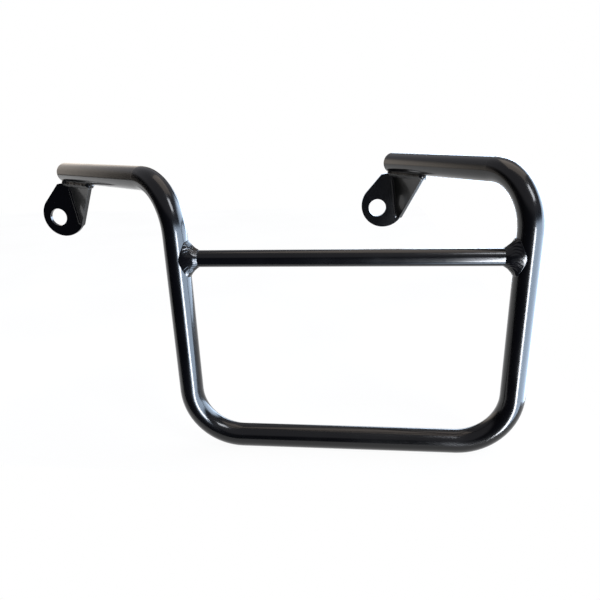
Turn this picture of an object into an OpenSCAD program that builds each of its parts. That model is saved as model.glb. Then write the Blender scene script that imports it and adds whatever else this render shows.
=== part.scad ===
// Pannier frame for the left side of a motorcycle: a bent steel tube hoop with two arms,
// a coped cross bar, and two fixing ears, each with a gusset, all welded and painted black.
// Lengths are in millimetres. +X points to the rear of the motorcycle, +Y inboard to the
// machine and +Z up. The origin is the centre of the front ear's fixing hole, on its inboard face.

/* [Hoop] */
// Outside diameter of the bent tube
tube_d = 22; // [20:0.5:25]
// Wall thickness of the bent tube
tube_wall = 2; // [1.5:0.1:3]
// Outside width across the two bottom corners
bottom_w = 320; // [290:1:350]
// Outside width across the two top corners
top_w = 326; // [296:1:356]
// Outside height from under the bottom run to the top of the arms
hoop_h = 268; // [245:1:290]
// Bend radius of the tube on its centre line
bend_r = 48.5; // [44:0.5:56]

/* [Arms] */
// How far the front arm carries its end forward of the front top corner
front_forward = 176; // [150:1:200]
// How far the front arm carries its end inboard of the hoop
front_inboard = 150; // [130:1:170]
// How far the rear arm carries its end forward of the rear top corner
rear_forward = 104; // [85:1:125]
// How far the rear arm carries its end inboard of the hoop
rear_inboard = 190; // [165:1:215]
// Thickness of the disc that closes each end of the tube
cap_t = 3; // [2:0.5:6]

/* [Cross bar] */
// Outside diameter of the cross bar
bar_d = 15; // [12:0.5:17]
// Wall thickness of the cross bar
bar_wall = 1.5; // [1:0.1:2.5]
// Height of the cross bar's centre line above the bottom run's centre line
bar_h = 177; // [150:1:185]

/* [Ears] */
// Thickness of the ear plates and the gusset plates
plate_t = 4; // [3:0.5:6]
// Diameter of the fixing hole in each ear
hole_d = 20; // [16:0.5:24]
// How far the fixing hole lies forward of the tube's end
hole_forward = 16; // [14:0.5:18]
// How far the fixing hole lies below the arm's centre line
hole_down = 51; // [48:0.5:54]
// Radius of the ear's round lower end
ear_r = 25; // [23:0.5:28]
// How far the centre of the round end lies forward of the tube's end
ear_forward = 9.5; // [8:0.5:12]
// How far the centre of the round end lies below the arm's centre line
ear_down = 48.5; // [46:0.5:51]
// How far the ear's front top corner lies forward of the centre of its round end
ear_nose = 2; // [1:0.5:4]
// How far the ear's front top corner lies below the underside of the arm
ear_drop = 1.5; // [1:0.5:3]
// How far the ear's rear top corner lies to the rear of the tube's end
ear_tail = 8; // [6:0.5:10]

/* [Gussets] */
// Length of each gusset along the underside of its arm, from the tube's end
gusset_l = 60; // [52:1:70]
// Height of each gusset below the underside of its arm
gusset_h = 52; // [46:1:54]
// Height of the gusset's short square end under the arm
gusset_nose = 5; // [3:0.5:8]
// How far the gusset's sloping edge ends from the tube's end, at its foot
gusset_foot = 12; // [10:0.5:15]
// Lean of each gusset about its arm, in degrees, with the foot pushed to the rear
gusset_lean = 6; // [4:0.5:8]

/* [Welds] */
// How far the weld at each end of the cross bar reaches along the bar and along the upright
bar_leg = 9; // [7:0.5:11]
// How far that weld bulges past the sides of the bar
bar_side = 4; // [3:0.5:5]
// Radius of the bead along the top of each gusset
gusset_bead = 5.2; // [4.5:0.1:6]
// Length of that bead's pointed end, past the gusset
run_out = 10.4; // [8:0.2:13]
// Radius of the bead on each ear under the tube's end
ear_bead = 4; // [3:0.1:4.5]
// How far that bead starts forward of the tube's end
ear_bead_l = 7; // [6:0.5:9]
// Radius of the thin seam weld between each ear and its gusset
seam_r = 2.4; // [2:0.1:3]
// How far the seam starts below the gusset's bead
seam_start = 1; // [0.5:0.5:3]
// How far the seam stops above the gusset's foot
seam_stop = 3; // [2:0.5:6]

/* [Hidden] */
$fn = 180;

black = "#1b1d20";
weld_black = "#24262a";
tube_r = tube_d / 2;
bore_r = tube_r - tube_wall;
bar_r = bar_d / 2;
// How far a cut runs past the face it opens, and how far a plate reaches into what trims it
run_past = 1;
bite = 1;
// Half length and height of the bands that close the joints between straights and bends
band = 0.4;
band_rise = 0.01;
// How far the straight sides of an ear lie inside its round end
side_inset = 0.1;
// Radius of the blunt end of a pointed bead
tip_r = 0.4;
// Length of the blocks and plates that are trimmed or trim others, more than any ear or gusset
reach = gusset_l + gusset_h;

// Corners and ends of the tube's centre line, before the corners are rounded
front_end = [hole_forward, 0, hole_down];
front_top = front_end + [front_forward, -front_inboard, 0];
rear_top = front_top + [top_w - tube_d, 0, 0];
rear_end = rear_top + [-rear_forward, rear_inboard, 0];
middle = (front_top + rear_top) / 2 - [0, 0, hoop_h - tube_d];
front_bottom = middle - [(bottom_w - tube_d) / 2, 0, 0];
rear_bottom = middle + [(bottom_w - tube_d) / 2, 0, 0];
route = [front_end, front_top, front_bottom, rear_bottom, rear_top, rear_end];
last = len(route) - 1;

function unit(v) = v / norm(v);
// Turn of the tube at corner i, and the length from the corner to where the bend starts
function turn(i) = acos(unit(route[i] - route[i - 1]) * unit(route[i + 1] - route[i]));
function setback(i) = i == 0 || i == last ? 0 : bend_r * tan(turn(i) / 2);
// Centre of the bend at corner i
function bend_centre(i) =
    let (back = unit(route[i - 1] - route[i]), on = unit(route[i + 1] - route[i]))
    route[i] + unit(back + on) * bend_r / cos(turn(i) / 2);
// Where the straight from corner i to corner i + 1 starts and stops
function straight_from(i) = route[i] + unit(route[i + 1] - route[i]) * setback(i);
function straight_to(i) = route[i + 1] - unit(route[i + 1] - route[i]) * setback(i + 1);
// Matrix that puts the X, Y and Z axes on x, y and z, with the origin at o
function frame(o, x, y, z) =
    [[x[0], y[0], z[0], o[0]], [x[1], y[1], z[1], o[1]], [x[2], y[2], z[2], o[2]], [0, 0, 0, 1]];
// Point on the upright from corner a to corner b, h above the bottom run
function at_height(a, b, h) = a + (b - a) * h / (b[2] - a[2]);

// Directions at the end of an arm: along it to the hoop, and the gusset's own side and up
function along(end, top) = unit(top - end);
function side(a) = [-a[1], a[0], 0] * cos(gusset_lean) + [0, 0, sin(gusset_lean)];
function rise(a) = [a[1], -a[0], 0] * sin(gusset_lean) + [0, 0, cos(gusset_lean)];
// Point of the seam between ear and gusset, h above the arm's underside
function seam_point(end, top, h) =
    let (a = along(end, top), n = side(a), z = rise(a), off = -plate_t / 2)
    let (s = (-plate_t - off * n[1] - h * z[1]) / a[1])
    end - [0, 0, tube_r] + a * s + n * off + z * h;

// Round rod from point p to point q, longer by extra at both ends
module rod(p, q, r, extra = 0) {
    v = q - p;
    translate(p - unit(v) * extra)
        rotate([0, acos(v[2] / norm(v)), atan2(v[1], v[0])])
            cylinder(h = norm(v) + 2 * extra, r = r);
}

// Bent round bar of radius r along the tube's centre line
module bent_bar(r, extra) {
    for (i = [0 : last - 1]) {
        ahead = unit(route[i + 1] - route[i]);
        rod(straight_from(i) - ahead * (i == 0 ? extra : 0),
            straight_to(i) + ahead * (i == last - 1 ? extra : 0), r);
        // Thin bands that close the joints between this straight and its bends
        if (i > 0) rod(straight_from(i) - ahead * band, straight_from(i) + ahead * band, r + band_rise);
        if (i < last - 1) rod(straight_to(i) - ahead * band, straight_to(i) + ahead * band, r + band_rise);
    }
    for (i = [1 : last - 1]) {
        x = unit(straight_to(i - 1) - bend_centre(i));
        y = unit(route[i] - route[i - 1]);
        multmatrix(frame(bend_centre(i), x, y, cross(x, y)))
            rotate_extrude(angle = turn(i)) translate([bend_r, 0]) circle(r = r);
    }
}

// The tube without its bore, which also trims the cross bar and its welds
module tube_outline() {
    bent_bar(tube_r, 0);
}

module hoop_tube() {
    color(black) difference() {
        tube_outline();
        bent_bar(bore_r, run_past);
    }
}

// Disc that closes the tube's bore, flush with the end
module tube_cap(end, top) {
    color(black) rod(end, end + along(end, top) * cap_t, bore_r);
}

module cross_bar() {
    bar_front = at_height(front_bottom, front_top, bar_h);
    bar_rear = at_height(rear_bottom, rear_top, bar_h);
    color(black) difference() {
        rod(bar_front, bar_rear, bar_r);
        rod(bar_front, bar_rear, bar_r - bar_wall, run_past);
        tube_outline();
    }
}

// Weld where the cross bar meets an upright: a cone round the bar, trimmed at its sides to
// a belly that narrows up and down; way is 1 at the front and -1 at the rear
module bar_weld(bottom, top, way) {
    wide = bar_r + bar_leg + tube_r;
    belly = bar_r + bar_side;
    tip = belly / 4;
    color(weld_black) difference() {
        translate(at_height(bottom, top, bar_h)) intersection() {
            rotate([0, way * 90, 0]) cylinder(h = wide - bar_r, r1 = wide, r2 = bar_r);
            translate([way * tube_r, 0, 0]) rotate_extrude()
                polygon([[0, -wide], [tip, -wide], [belly, 0], [tip, wide], [0, wide]]);
        }
        tube_outline();
        translate(middle + [0, 0, bar_h]) rotate([0, 90, 0])
            cylinder(h = bottom_w, r = bar_r, center = true);
    }
}

// Ear plate, flat in the outboard view, with its origin at the centre of the tube's end
module flat_ear() {
    centre = [-ear_forward, -ear_down];
    front_corner = [-ear_forward - ear_nose, -tube_r - ear_drop];
    rear_corner = [ear_tail, -tube_r + bite];
    to_front = front_corner - centre;
    to_rear = rear_corner - centre;
    side_r = ear_r - side_inset;
    front_side = atan2(to_front[1], to_front[0]) + acos(side_r / norm(to_front));
    rear_side = atan2(to_rear[1], to_rear[0]) - acos(side_r / norm(to_rear));
    difference() {
        union() {
            translate(centre) cylinder(h = plate_t, r = ear_r);
            linear_extrude(plate_t)
                polygon([front_corner, rear_corner,
                         centre + side_r * [cos(rear_side), sin(rear_side)], centre,
                         centre + side_r * [cos(front_side), sin(front_side)]]);
        }
        translate([-hole_forward, -hole_down, -run_past])
            cylinder(h = plate_t + 2 * run_past, d = hole_d);
    }
}

module ear_plate(end, top) {
    difference() {
        translate(end) rotate([90, 0, 0]) flat_ear();
        rod(end, top, tube_r);
    }
}

module ear(end, top) {
    color(black) ear_plate(end, top);
}

// All that lies inboard of the ear's outboard face
module behind_ear(end) {
    translate(end + [-reach, -plate_t, -reach]) cube([2 * reach, reach, 2 * reach]);
}

module gusset_plate(end, top) {
    a = along(end, top);
    difference() {
        multmatrix(frame(end - [0, 0, tube_r], a, side(a), rise(a)))
            translate([0, plate_t / 2, 0]) rotate([90, 0, 0]) linear_extrude(plate_t)
                polygon([[-gusset_foot, bite], [gusset_l, bite], [gusset_l, -gusset_nose],
                         [gusset_foot, -gusset_h], [-gusset_foot, -gusset_h]]);
        rod(end, top, tube_r, run_past);
        behind_ear(end);
    }
}

module gusset(end, top) {
    color(black) gusset_plate(end, top);
}

// Bead along both sides of the gusset's top, running out to a point past its end
module gusset_bead_shape(end, top) {
    a = along(end, top);
    multmatrix(frame(end - [0, 0, tube_r], a, side(a), rise(a))) rotate([0, 90, 0]) {
        translate([0, 0, -run_past]) cylinder(h = gusset_l + run_past, r = gusset_bead);
        translate([0, 0, gusset_l]) cylinder(h = run_out, r1 = gusset_bead, r2 = tip_r);
    }
}

module gusset_weld(end, top) {
    color(weld_black) difference() {
        gusset_bead_shape(end, top);
        rod(end, top, tube_r, run_past);
        gusset_plate(end, top);
        behind_ear(end);
    }
}

// Bead on the ear's outboard face, under the tube's end
module ear_weld(end, top) {
    color(weld_black) difference() {
        translate(end + [-ear_bead_l, -plate_t, -tube_r]) rotate([90, 0, 90])
            cylinder(h = ear_bead_l, r = ear_bead);
        rod(end, top, tube_r);
        behind_ear(end);
        gusset_bead_shape(end, top);
    }
}

// Thin weld down the corner between the ear and the gusset
module seam_weld(end, top) {
    color(weld_black) difference() {
        rod(seam_point(end, top, -gusset_bead - seam_start),
            seam_point(end, top, seam_stop - gusset_h), seam_r);
        ear_plate(end, top);
        gusset_plate(end, top);
        behind_ear(end);
    }
}

hoop_tube();
tube_cap(front_end, front_top);  // front_tube_cap
tube_cap(rear_end, rear_top);  // rear_tube_cap
cross_bar();
bar_weld(front_bottom, front_top, 1);  // front_bar_weld
bar_weld(rear_bottom, rear_top, -1);  // rear_bar_weld
ear(front_end, front_top);  // front_ear
ear(rear_end, rear_top);  // rear_ear
gusset(front_end, front_top);  // front_gusset
gusset(rear_end, rear_top);  // rear_gusset
ear_weld(front_end, front_top);  // front_ear_weld
ear_weld(rear_end, rear_top);  // rear_ear_weld
gusset_weld(front_end, front_top);  // front_gusset_weld
gusset_weld(rear_end, rear_top);  // rear_gusset_weld
seam_weld(front_end, front_top);  // front_seam_weld
seam_weld(rear_end, rear_top);  // rear_seam_weld
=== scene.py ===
"""Looks of the pannier frame: satin black enamel on bent steel tube, cut plate and rippled weld
beads, over a pale light table in soft studio light. Lengths are in metres."""

import math

import bmesh
import bpy
from mathutils import Matrix, Vector, noise


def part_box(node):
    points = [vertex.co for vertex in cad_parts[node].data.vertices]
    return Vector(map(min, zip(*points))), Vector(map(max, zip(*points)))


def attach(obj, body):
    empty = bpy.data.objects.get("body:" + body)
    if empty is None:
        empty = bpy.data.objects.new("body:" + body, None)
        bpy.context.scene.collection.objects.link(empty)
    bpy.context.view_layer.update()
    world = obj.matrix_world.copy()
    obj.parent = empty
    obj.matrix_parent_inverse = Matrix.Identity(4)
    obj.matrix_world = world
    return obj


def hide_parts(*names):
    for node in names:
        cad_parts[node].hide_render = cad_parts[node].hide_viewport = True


MM = 0.001

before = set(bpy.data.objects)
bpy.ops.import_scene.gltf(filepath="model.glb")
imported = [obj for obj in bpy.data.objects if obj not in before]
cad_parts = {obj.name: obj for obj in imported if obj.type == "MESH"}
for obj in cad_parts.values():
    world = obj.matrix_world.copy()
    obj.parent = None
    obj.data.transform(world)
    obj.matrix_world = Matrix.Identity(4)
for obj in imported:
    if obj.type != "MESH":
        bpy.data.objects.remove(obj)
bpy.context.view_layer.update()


# Sizes, taken from the frame where it has them

bar_low, bar_high = (Vector(corner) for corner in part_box("cross_bar"))
hoop_low = Vector(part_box("hoop_tube")[0])
bar_centre = (bar_low + bar_high) / 2
bar_radius = (bar_high.z - bar_low.z) / 2
tube_radius = bar_centre.y - hoop_low.y
plate = 4 * MM
floor_height = hoop_low.z

# The cross bar's welds: how far they reach along bar and upright, the radius of their cone at the
# upright's centre line, and how far the belly reaches, level, from the upright's face
weld_leg = 9 * MM
weld_wide = bar_radius + weld_leg + tube_radius
weld_belly = bar_radius + 5 * MM

gusset_length = 60 * MM
gusset_height = 52 * MM
gusset_lean = math.radians(6)


class Arm:
    """One arm's end: where it is, the way along it to the hoop, and its gusset's side and rise."""

    def __init__(self, name, end, run):
        self.name = name
        self.end = Vector(end)
        self.underside = self.end - Vector((0, 0, tube_radius))
        self.along = Vector(run).normalized()
        flat_side = Vector((-self.along.y, self.along.x, 0))
        up = Vector((0, 0, 1))
        self.side = flat_side * math.cos(gusset_lean) + up * math.sin(gusset_lean)
        self.rise = up * math.cos(gusset_lean) - flat_side * math.sin(gusset_lean)

    def at(self, along, side, rise):
        """Point that far along the arm's underside, to the gusset's side and up."""
        return self.underside + self.along * along + self.side * side + self.rise * rise

    def on_ear(self, side, rise):
        """Point where that line beside the gusset meets the ear's outboard face."""
        start = self.at(0, side, rise)
        return start + self.along * ((self.end.y - plate - start.y) / self.along.y)


# Centre of each arm's end, and the run from there to the hoop
front_arm = Arm("front", (16 * MM, 0, 51 * MM), (176, -150, 0))
rear_arm = Arm("rear", (392 * MM, 40 * MM, 51 * MM), (104, -190, 0))


# Materials


def linear(code):
    """Linear colour from an sRGB hex code."""
    values = [int(code[i : i + 2], 16) / 255 for i in (1, 3, 5)]
    bent = [v / 12.92 if v <= 0.04045 else ((v + 0.055) / 1.055) ** 2.4 for v in values]
    return (*bent, 1)


def add(tree, kind, settings=None, **links):
    """Adds a node. settings go to its attributes, and links to its inputs, as a value or as a
    socket to link. Underscores in an input's name stand for spaces."""
    node = tree.nodes.new(kind)
    for key, value in (settings or {}).items():
        setattr(node, key, value)
    for key, value in links.items():
        socket = node.inputs[int(key[2:]) if key.startswith("in") else key.replace("_", " ")]
        if isinstance(value, bpy.types.NodeSocket):
            tree.links.new(value, socket)
        else:
            socket.default_value = value
    return node


def new_material(name):
    """Material with its tree, its shader and the object's own coordinates."""
    material = bpy.data.materials.new(name)
    material.use_nodes = True
    tree = material.node_tree
    shader = tree.nodes["Principled BSDF"]
    place = add(tree, "ShaderNodeTexCoord").outputs["Object"]
    return material, tree, shader, place


def satin_black_enamel(name, colour, roughness, peel_mm, peel_depth_mm, wear=0.55, chips_and_highlights=()):
    """Baked satin black enamel sprayed on steel. The eye gets a deep black, wide soft highlights
    that the faint peel of the spray breaks up, and thinner, greyer paint along cut edges. wear is
    how far the edges go to grey, and chips_and_highlights lists the spot and size of each pale
    spot, which is a chip down to the primer and also a painted highlight."""
    cloud_mm = 38
    # Grit in the film is about 0.2 mm on the real one and is drawn at 0.6 mm so that it shows
    grit_mm = 0.6
    grit_share = 0.25
    edge_mm = 0.7
    gloss_sway = 0.04
    material, tree, shader, place = new_material(name)
    # Sprayed film: peel of a few millimetres, and a slower wave in how glossy the coat is
    peel = add(tree, "ShaderNodeTexNoise", Vector=place, Scale=1 / (peel_mm * MM), Detail=2.0)
    cloud = add(tree, "ShaderNodeTexNoise", Vector=place, Scale=1 / (cloud_mm * MM), Detail=3.0)
    grit = add(tree, "ShaderNodeTexNoise", Vector=place, Scale=1 / (grit_mm * MM), Detail=1.0)
    rough = add(
        tree, "ShaderNodeMapRange", Value=cloud.outputs["Fac"], From_Min=0.3, From_Max=0.7,
        To_Min=roughness - gloss_sway, To_Max=roughness + gloss_sway,
    )
    # Thin paint on edges, found as the bend of a rounded normal away from the true one
    rounded = add(tree, "ShaderNodeBevel", {"samples": 6}, Radius=edge_mm * MM)
    true_normal = add(tree, "ShaderNodeNewGeometry").outputs["Normal"]
    likeness = add(
        tree, "ShaderNodeVectorMath", {"operation": "DOT_PRODUCT"},
        in0=rounded.outputs["Normal"], in1=true_normal,
    )
    edge = add(
        tree, "ShaderNodeMapRange", Value=likeness.outputs["Value"], From_Min=0.97, From_Max=0.8,
        To_Min=0.0, To_Max=wear,
    )
    worn = add(
        tree, "ShaderNodeMath", {"operation": "MULTIPLY"},
        in0=edge.outputs["Result"], in1=cloud.outputs["Fac"],
    )
    tone = add(
        tree, "ShaderNodeMix", {"data_type": "RGBA"},
        Factor=worn.outputs["Value"], in6=linear(colour), in7=linear("#5b5e63"),
    )
    height = add(
        tree, "ShaderNodeMath", {"operation": "MULTIPLY_ADD"},
        in0=grit.outputs["Fac"], in1=grit_share, in2=peel.outputs["Fac"],
    )
    bump = add(
        tree, "ShaderNodeBump", Height=height.outputs["Value"], Strength=1.0,
        Distance=peel_depth_mm * MM, Normal=rounded.outputs["Normal"],
    )
    paint = tone.outputs["Result"]
    for spot, size in chips_and_highlights:
        paint = chipped_and_highlit(tree, place, cloud.outputs["Fac"], paint, spot, size)
    tree.links.new(paint, shader.inputs["Base Color"])
    tree.links.new(rough.outputs["Result"], shader.inputs["Roughness"])
    tree.links.new(bump.outputs["Normal"], shader.inputs["Normal"])
    shader.inputs["IOR"].default_value = 1.36
    shader.inputs["Coat Weight"].default_value = 0.4
    shader.inputs["Coat IOR"].default_value = 1.36
    shader.inputs["Coat Roughness"].default_value = 0.07
    return material


def chipped_and_highlit(tree, place, ragged, paint, spot, size):
    """Paint with a small pale spot at spot, which is a chip down to the pale primer and also a
    painted highlight. ragged is a noise that takes up to reach off the spot's radius, so its edge
    is uneven."""
    reach, fade = 1.2 * size, 0.3 * size
    away = add(tree, "ShaderNodeVectorMath", {"operation": "DISTANCE"}, in0=place, in1=tuple(spot))
    wobble = add(
        tree, "ShaderNodeMath", {"operation": "MULTIPLY_ADD"},
        in0=ragged, in1=reach, in2=away.outputs["Value"],
    )
    mask = add(
        tree, "ShaderNodeMapRange", Value=wobble.outputs["Value"], From_Min=reach + fade,
        From_Max=reach, To_Min=0.0, To_Max=1.0,
    )
    # Primer grey mixed into the paint colour: a chip down to the primer, and also a painted
    # highlight
    mixed = add(
        tree, "ShaderNodeMix", {"data_type": "RGBA"},
        Factor=mask.outputs["Result"], in6=paint, in7=linear("#b9bcc0"),
    )
    return mixed.outputs["Result"]


def opal_acrylic(name):
    """Opal acrylic of a light table. It glows an even white and sends back little of the room's
    light, so the eye gets a clean white with only faint soft shadows."""
    cloud_mm = 240
    material, tree, shader, place = new_material(name)
    cloud = add(tree, "ShaderNodeTexNoise", Vector=place, Scale=1 / (cloud_mm * MM), Detail=2.0)
    tone = add(
        tree, "ShaderNodeMix", {"data_type": "RGBA"},
        Factor=cloud.outputs["Fac"], in6=linear("#fafafa"), in7=linear("#ffffff"),
    )
    tree.links.new(tone.outputs["Result"], shader.inputs["Emission Color"])
    shader.inputs["Emission Strength"].default_value = 0.97
    shader.inputs["Base Color"].default_value = linear("#3c3c3c")
    shader.inputs["Roughness"].default_value = 0.9
    shader.inputs["Specular IOR Level"].default_value = 0.0
    return material


tube_enamel = satin_black_enamel("satin_enamel_on_tube", "#020203", 0.20, 2.4, 0.016)
bar_enamel = satin_black_enamel("satin_enamel_on_bar", "#020203", 0.21, 2.0, 0.014)
# Place and size of the pale spot at the foot of the rear ear's seam: a chip down to the primer,
# and a painted highlight on that corner
seam_chip_and_highlight = (rear_arm.on_ear(-plate / 2, -gusset_height + 1 * MM), 1.6 * MM)
plate_enamel = satin_black_enamel(
    "satin_enamel_on_plate", "#020203", 0.17, 1.8, 0.014, chips_and_highlights=[seam_chip_and_highlight]
)
gusset_enamel = satin_black_enamel("satin_enamel_on_gusset", "#030303", 0.33, 2.6, 0.050)
weld_enamel = satin_black_enamel("satin_enamel_on_weld", "#030304", 0.20, 1.4, 0.020, wear=0)


# Weld beads


def section(angle, width, depth):
    """Point of a bead's section: rounder than a diamond and flatter than an ellipse."""
    # 1 would give a diamond and 2 an ellipse
    fullness = 1.6875
    cosine, sine = math.cos(angle), math.sin(angle)
    return (
        math.copysign(abs(cosine) ** (2 / fullness), cosine) * width,
        math.copysign(abs(sine) ** (2 / fullness), sine) * depth,
    )


def scale_height(phase, steepness):
    """Height from 0 to 1 in a row of overlapping scales, one for each pulse of the torch and each
    whole number of phase: a steep front, then a long fall."""
    part = phase % 1
    return (1 - part) ** 0.8 * min(1, part * steepness)


def ripple(travel, angle, pitch, seed):
    """Height of a bead's scales, from 0 to 1. They lag at the bead's toes, so they look like
    stacked crescents."""
    most_lag, most_unsteady, unsteady_pitches, steepness = 0.42, 0.22, 2.3, 7
    lag = most_lag * math.cos(angle * 2)
    sway = noise.noise(Vector((travel / (pitch * unsteady_pitches), seed, 0)))
    return scale_height(travel / pitch + lag + most_unsteady * sway, steepness)


def join_rings(mesh, pairs):
    """Faces between the two rings of points of each pair."""
    for ring, following in pairs:
        for k in range(len(ring)):
            after = (k + 1) % len(ring)
            mesh.faces.new((ring[k], ring[after], following[after], following[k]))


def finished(mesh, name):
    """Smooth painted object from a closed weld mesh, with a crease where its root turns in."""
    crease = math.radians(50)
    bmesh.ops.recalc_face_normals(mesh, faces=mesh.faces)
    data = bpy.data.meshes.new(name)
    mesh.to_mesh(data)
    mesh.free()
    data.shade_smooth()
    data.set_sharp_from_angle(angle=crease)
    piece = bpy.data.objects.new(name, data)
    bpy.context.collection.objects.link(piece)
    piece.data.materials.append(weld_enamel)
    return piece


def bead(name, stations, pitch, rise, seed):
    """Weld bead through stations, a list of (centre, across, out, width, depth, travel): where the
    section stands, its two axes and half sizes, and how far along the bead it is."""
    around = 28
    lump_size, lump_share, middle_scale = 7 * MM, 0.35, 0.5
    mesh = bmesh.new()
    rings = []
    for centre, across, out, width, depth, travel in stations:
        ring = []
        for k in range(around):
            angle = 2 * math.pi * k / around
            sideways, outwards = section(angle, width, depth)
            point = centre + across * sideways + out * outwards
            lump = lump_share * noise.noise(point / lump_size + Vector((seed, 0, 0)))
            swell = ripple(travel, angle, pitch, seed) - middle_scale + lump
            grow = 1 + swell * rise / max(width, depth)
            ring.append(mesh.verts.new(centre + (point - centre) * grow))
        rings.append(ring)
    join_rings(mesh, zip(rings, rings[1:]))
    mesh.faces.new(rings[0][::-1])
    mesh.faces.new(rings[-1])
    return finished(mesh, name)


def inside_bar_weld(x, y, z):
    """Whether a point lies in the weld's form: a cone round the bar, trimmed at the sides to a
    belly that narrows up and down. The point is measured from where the two centre lines meet."""
    narrowing, narrowing_power = 1.2, 1.6
    across = math.hypot(y, z)
    height_share = abs(z) / weld_wide
    belly = weld_belly * max(0, 1 - narrowing * height_share**narrowing_power)
    return across <= weld_wide - x and math.hypot(x - tube_radius, y) <= belly


def furthest(inside, low, high):
    """Furthest value from low towards high that is still inside."""
    halvings = 30
    if not inside(low):
        return low
    for _ in range(halvings):
        middle = (low + high) / 2
        low, high = (middle, high) if inside(middle) else (low, middle)
    return low


def upright_face(out, sine):
    """Distance along the bar from the upright's centre line to its face, at that distance out
    from the bar's centre line. sine is that of the turn round the bar, from straight up."""
    return math.sqrt(max(0, tube_radius**2 - (out * sine) ** 2))


def bar_weld_toes(sine, cosine):
    """Where the weld ends at that turn round the bar: how far along the bar, and how far out on
    the upright."""
    least = 0.2 * MM

    def over_bar(x):
        return inside_bar_weld(x, bar_radius * sine, bar_radius * cosine)

    def over_upright(out):
        return inside_bar_weld(upright_face(out, sine), out * sine, out * cosine)

    bar_toe = furthest(over_bar, upright_face(bar_radius, sine) + least, tube_radius + weld_leg)
    upright_toe = furthest(over_upright, bar_radius + least, bar_radius + weld_leg)
    return bar_toe, upright_toe


def bar_weld_bulge(x, low, sine, cosine):
    """How far the weld's form goes out past low, at x along the bar."""
    most = 6 * MM

    def in_form(out):
        return inside_bar_weld(x, out * sine, out * cosine)

    return furthest(in_form, low, low + most) - low


def bar_bead(name, way, seed):
    """Weld round one end of the cross bar, made of scales from toe to toe. way is 1 at the
    front upright and -1 at the rear."""
    turns, across = 300, 22
    # The path round the weld is longer than a circle of its mean radius
    path_stretch = 1.15
    scale_pitch, unsteady_length, lump_length, lump_across = 2.9 * MM, 6 * MM, 5 * MM, 2
    most_lag, most_unsteady, steepness = 0.5, 0.3, 6
    # Height of a scale that leaves the face where it is
    level_scale = 0.3
    # The face keeps a share of the form's bulge, is hollow above and below the bar, and dips at
    # its toes
    bulge_share, hollow, toe_dip = 0.25, 1.3 * MM, 0.05 * MM
    # Rise of scales and lumps in front of the bar, and what they gain above and below it
    scale_rise, scale_gain = 0.10 * MM, 0.75 * MM
    lump_rise, lump_gain = 0.12 * MM, 0.20 * MM
    # How deep the weld's root lies in the upright and in the bar
    root_in_upright, root_in_bar = 1.5 * MM, 1.2 * MM
    inner = bar_low.x if way > 0 else bar_high.x
    meeting = Vector((inner - way * math.sqrt(tube_radius**2 - bar_radius**2), *bar_centre.yz))
    mesh = bmesh.new()
    rings = []
    travel = 0
    for k in range(turns):
        turn = 2 * math.pi * k / turns
        sine, cosine = math.sin(turn), math.cos(turn)
        web = cosine * cosine
        bar_toe, upright_toe = bar_weld_toes(sine, cosine)
        start = Vector((upright_face(upright_toe, sine), upright_toe))
        stop = Vector((bar_toe, bar_radius))
        travel += path_stretch * math.pi * (bar_radius + upright_toe) / turns
        chord = stop - start
        square = Vector((-chord.y, chord.x)).normalized()
        if square.y < 0:
            square = -square
        spots = []
        for m in range(across):
            part = m / (across - 1)
            hill = math.sin(math.pi * part)
            x = start.x + chord.x * part
            low = start.y + chord.y * part
            lag = most_lag * math.cos(2 * math.pi * part)
            sway = most_unsteady * noise.noise(Vector((travel / unsteady_length, seed, 0)))
            scale = scale_height(travel / scale_pitch + lag + sway, steepness) - level_scale
            lump = noise.noise(Vector((travel / lump_length, part * lump_across, seed + 5)))
            rough = scale * (scale_rise + scale_gain * web) + lump * (lump_rise + lump_gain * web)
            lift = bar_weld_bulge(x, low, sine, cosine) * bulge_share - hill * web * hollow
            lift += hill**0.6 * rough - (1 - hill**0.3) * toe_dip
            spots.append(Vector((x, low)) + square * lift)
        root = (upright_face(bar_radius, sine) - root_in_upright, bar_radius - root_in_bar)
        spots.append(Vector(root))
        rings.append([
            mesh.verts.new(meeting + Vector((way * spot.x, spot.y * sine, spot.y * cosine)))
            for spot in spots
        ])
    join_rings(mesh, zip(rings, rings[1:] + rings[:1]))
    return finished(mesh, name)


def gusset_bead(arm, name, seed):
    """Bead down one side of the gusset's top, round its end and back to the ear."""
    width, depth, sink = 2.9 * MM, 3.7 * MM, 0.6 * MM
    pitch, rise = 3.4 * MM, 1.2 * MM
    uneven_share, uneven_length, uneven_width = 0.12, 9 * MM, 4 * MM
    off = plate / 2 + 0.6 * MM
    steps, turns = 150, 18
    back_length = gusset_length - (arm.on_ear(off, 0) - arm.at(0, off, 0)).length
    path = [(gusset_length * k / steps, -off) for k in range(steps + 1)]
    for k in range(1, turns):
        turn = math.pi * k / turns
        path.append((gusset_length + off * math.sin(turn), -off * math.cos(turn)))
    path += [(gusset_length - back_length * k / steps, off) for k in range(steps + 1)]
    stations = []
    travel = 0
    for i, (along, side) in enumerate(path):
        before = path[max(i - 1, 0)]
        after = path[min(i + 1, len(path) - 1)]
        way = arm.along * (after[0] - before[0]) + arm.side * (after[1] - before[1])
        across = way.normalized().cross(arm.rise).normalized()
        travel += math.dist(before, path[i])
        spot = Vector((along / uneven_length, side / uneven_width, seed))
        uneven = 1 + uneven_share * noise.noise(spot)
        stations.append((
            arm.at(along, side, -sink), across, arm.rise, width * uneven, depth * uneven, travel,
        ))
    return bead(name, stations, pitch, rise, seed)


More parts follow.
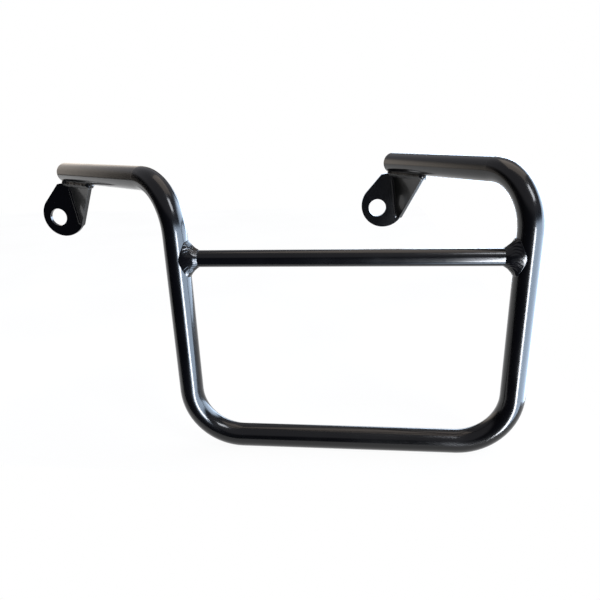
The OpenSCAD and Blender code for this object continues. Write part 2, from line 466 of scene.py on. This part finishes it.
def tail(arm, name, seed):
    """Run-out of the bead along the arm's underside, past the gusset's end."""
    length, width, depth = 9.5 * MM, 4.6 * MM, 3.6 * MM
    overlap, lift = 1 * MM, 0.3 * MM
    pitch, rise = 3.0 * MM, 0.6 * MM
    taper, least_share = 0.7, 0.03
    steps = 40
    stations = []
    for k in range(steps + 1):
        part = k / steps
        thin = (1 - part) ** taper + least_share
        stations.append((
            arm.at(gusset_length - overlap + length * part, 0, lift), arm.side, arm.rise,
            width * thin, depth * thin, length * part,
        ))
    return bead(name, stations, pitch, rise, seed)


def straight_bead(name, start, stop, across, out, width, depth, pitch, rise, seed):
    """Straight bead from start to stop, rounded off at both ends."""
    least_steps, step_length = 24, 0.35 * MM
    end_share, rounding = 0.12, 0.8
    length = (stop - start).length
    steps = max(least_steps, int(length / step_length))
    stations = []
    for k in range(steps + 1):
        part = k / steps
        from_end = min(part, 1 - part) * length
        thin = min(1, end_share + math.sqrt(from_end / (width * rounding)))
        stations.append((
            start.lerp(stop, part), across, out, width * thin, depth * thin, length * part,
        ))
    return bead(name, stations, pitch, rise, seed)


def seam_bead(arm, name, seed):
    """Thin bead down the corner between the ear and the gusset."""
    below_arm, above_foot = 6 * MM, 3 * MM
    width, depth, pitch, rise = 2.4 * MM, 1.1 * MM, 2.6 * MM, 0.3 * MM
    top = arm.on_ear(-plate / 2, -below_arm)
    foot = arm.on_ear(-plate / 2, above_foot - gusset_height)
    out = (Vector((-1, 0, 0)) + arm.along).normalized()
    across = out.cross((foot - top).normalized()).normalized()
    return straight_bead(name, top, foot, across, out, width, depth, pitch, rise, seed)


def ear_bead(arm, name, seed):
    """Short bead on the ear's outboard face, under the tube's end."""
    half_length, drop = 5 * MM, 0.2 * MM
    thickness, pitch, rise = 3.6 * MM, 2.8 * MM, 0.7 * MM
    start = arm.end + Vector((-half_length, -plate, -tube_radius - drop))
    stop = arm.end + Vector((half_length, -plate, -tube_radius - drop))
    across, out = Vector((0, -1, 0)), Vector((0, 0, 1))
    return straight_bead(name, start, stop, across, out, thickness, thickness, pitch, rise, seed)


def dress(piece, *nodes):
    """The bead rides with the frame, and stands for CAD nodes where any are named."""
    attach(piece, "root")
    if nodes:
        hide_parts(*nodes)


dress(bar_bead("bar_bead_front", 1, 3.1), "front_bar_weld")
dress(bar_bead("bar_bead_rear", -1, 8.4), "rear_bar_weld")
for seed, arm in ((1.7, front_arm), (5.2, rear_arm)):
    dress(gusset_bead(arm, f"gusset_bead_{arm.name}", seed), f"{arm.name}_gusset_weld")
    dress(tail(arm, f"gusset_bead_tail_{arm.name}", seed + 1))
    dress(seam_bead(arm, f"seam_bead_{arm.name}", seed + 2), f"{arm.name}_seam_weld")
    dress(ear_bead(arm, f"ear_bead_{arm.name}", seed + 3), f"{arm.name}_ear_weld")

finishes = {
    "hoop_tube": tube_enamel,
    "front_tube_cap": tube_enamel,
    "rear_tube_cap": tube_enamel,
    "cross_bar": bar_enamel,
    "front_ear": plate_enamel,
    "rear_ear": plate_enamel,
    "front_gusset": gusset_enamel,
    "rear_gusset": gusset_enamel,
}
for name, finish in finishes.items():
    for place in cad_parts[name].material_slots:
        place.material = finish


# Floor, light and camera


def light_table():
    """Flat light table under the frame. It ends just in front of the bottom run, so the lower
    fronts of the tubes mirror the dark room, as they do in the photograph."""
    left, right, front, back = -1.5, 0.60, -0.20, 1.6
    mesh = bmesh.new()
    corners = [(left, front), (right, front), (right, back), (left, back)]
    mesh.faces.new([mesh.verts.new((x, y, floor_height)) for x, y in corners])
    data = bpy.data.meshes.new("floor")
    mesh.to_mesh(data)
    mesh.free()
    floor = bpy.data.objects.new("floor", data)
    bpy.context.collection.objects.link(floor)
    data.materials.append(opal_acrylic("opal_acrylic"))


def soft_light(name, place, target, width, height, power, colour):
    """Rectangular soft light at place, turned to target."""
    data = bpy.data.lights.new(name, "AREA")
    data.shape = "RECTANGLE"
    data.size = width
    data.size_y = height
    data.energy = power
    data.color = linear(colour)[:3]
    light = bpy.data.objects.new(name, data)
    bpy.context.collection.objects.link(light)
    light.location = place
    light.rotation_euler = (target - place).to_track_quat("-Z", "Y").to_euler()


def patch_of_room(tree, way, sides, heights):
    """How far a direction looks at one patch of the room, from 0 to 1. Each side is the azimuth
    that the patch faces, and the cosines to it at which the patch begins and is full. heights is
    the direction's height, from -1 to 1, where the patch begins and where it is full."""
    limits = [((0.0, 0.0, 1.0), *heights)]
    for azimuth, begins, full in sides:
        turn = math.radians(azimuth)
        limits.append(((math.cos(turn), math.sin(turn), 0.0), begins, full))
    share = 1.0
    for axis, begins, full in limits:
        towards = add(
            tree, "ShaderNodeVectorMath", {"operation": "DOT_PRODUCT"}, in0=way, in1=axis
        )
        step = add(
            tree, "ShaderNodeMapRange", {"interpolation_type": "SMOOTHSTEP"},
            Value=towards.outputs["Value"], From_Min=begins, From_Max=full, To_Min=0.0, To_Max=1.0,
        )
        both = add(
            tree, "ShaderNodeMath", {"operation": "MULTIPLY"},
            in0=share, in1=step.outputs["Result"],
        )
        share = both.outputs["Value"]
    return share


def room_with_window():
    """Room round the table: dark below, a dim warm wall behind to the left, a dim ceiling, and
    a bright bluish window to the right, low beside the camera and taller behind the table. Past
    the table the camera sees the studio's plain white."""
    dark, wall, ceiling, daylight = "#060606", "#67625d", "#333335", "#c9def7"
    brightness = 12.5
    patches = [
        (wall, [(135, 0.84, 0.98)], (-0.16, -0.04)),
        (ceiling, [], (0.25, 0.5)),
        (daylight, [(18, -0.02, 0.12), (-10, -0.34, 0.1)], (0.24, 0.06)),
        (daylight, [(30, 0.75, 0.92)], (0.7, 0.45)),
    ]
    world = bpy.data.worlds.new("room")
    bpy.context.scene.world = world
    world.use_nodes = True
    tree = world.node_tree
    way = add(tree, "ShaderNodeTexCoord").outputs["Generated"]
    room = linear(dark)
    for colour, sides, heights in patches:
        share = patch_of_room(tree, way, sides, heights)
        mixed = add(
            tree, "ShaderNodeMix", {"data_type": "RGBA"},
            Factor=share, in6=room, in7=linear(colour),
        )
        room = mixed.outputs["Result"]
    mirrored = tree.nodes["Background"]
    tree.links.new(room, mirrored.inputs["Color"])
    mirrored.inputs["Strength"].default_value = brightness
    plain = add(tree, "ShaderNodeBackground", Color=linear("#ffffff"), Strength=1.0)
    seen = add(tree, "ShaderNodeLightPath").outputs["Is Camera Ray"]
    either = add(
        tree, "ShaderNodeMixShader",
        Fac=seen, in1=mirrored.outputs["Background"], in2=plain.outputs["Background"],
    )
    tree.links.new(either.outputs["Shader"], tree.nodes["World Output"].inputs["Surface"])


def studio():
    """Strip lamp low to the camera's right, a soft box high to its right, and a soft pane over
    the table."""
    cool, warm = "#f4f8ff", "#ffeedd"
    centre = Vector((bar_centre.x, bar_centre.y, 0))
    strip, strip_target = Vector((0.80, -1.05, -0.42)), Vector((0.49, -0.15, -0.07))
    high_box = centre + Vector((0.75, -0.80, 1.30))
    top_pane = centre + Vector((0.3, 0.5, 2.2))
    soft_light("strip", strip, strip_target, 0.20, 0.95, 28, cool)
    soft_light("high_box", high_box, centre, 0.45, 0.70, 16, cool)
    soft_light("top_pane", top_pane, centre, 1.8, 1.8, 14, warm)


def photo_camera():
    """Camera at the photograph's place: in front, a little above and turned slightly left."""
    focal_pixels, frame_pixels, sensor_mm = 531, 600, 36
    place = Vector((354.9, -601.3, 85.1)) * MM
    look = Vector((-0.1105, 0.9484, -0.2972)).normalized()
    roll = math.radians(1.77)
    level = look.cross(Vector((0, 0, 1))).normalized()
    above = level.cross(look)
    right = level * math.cos(roll) - above * math.sin(roll)
    up = above * math.cos(roll) + level * math.sin(roll)
    data = bpy.data.cameras.new("camera")
    data.sensor_width = sensor_mm
    data.lens = sensor_mm * focal_pixels / frame_pixels
    data.clip_start = 10 * MM
    camera = bpy.data.objects.new("camera", data)
    bpy.context.collection.objects.link(camera)
    turn = Matrix((right, up, -look)).transposed().to_4x4()
    camera.matrix_world = Matrix.Translation(place) @ turn
    bpy.context.scene.camera = camera


light_table()
room_with_window()
studio()
photo_camera()
bpy.context.scene.view_settings.view_transform = "Standard"
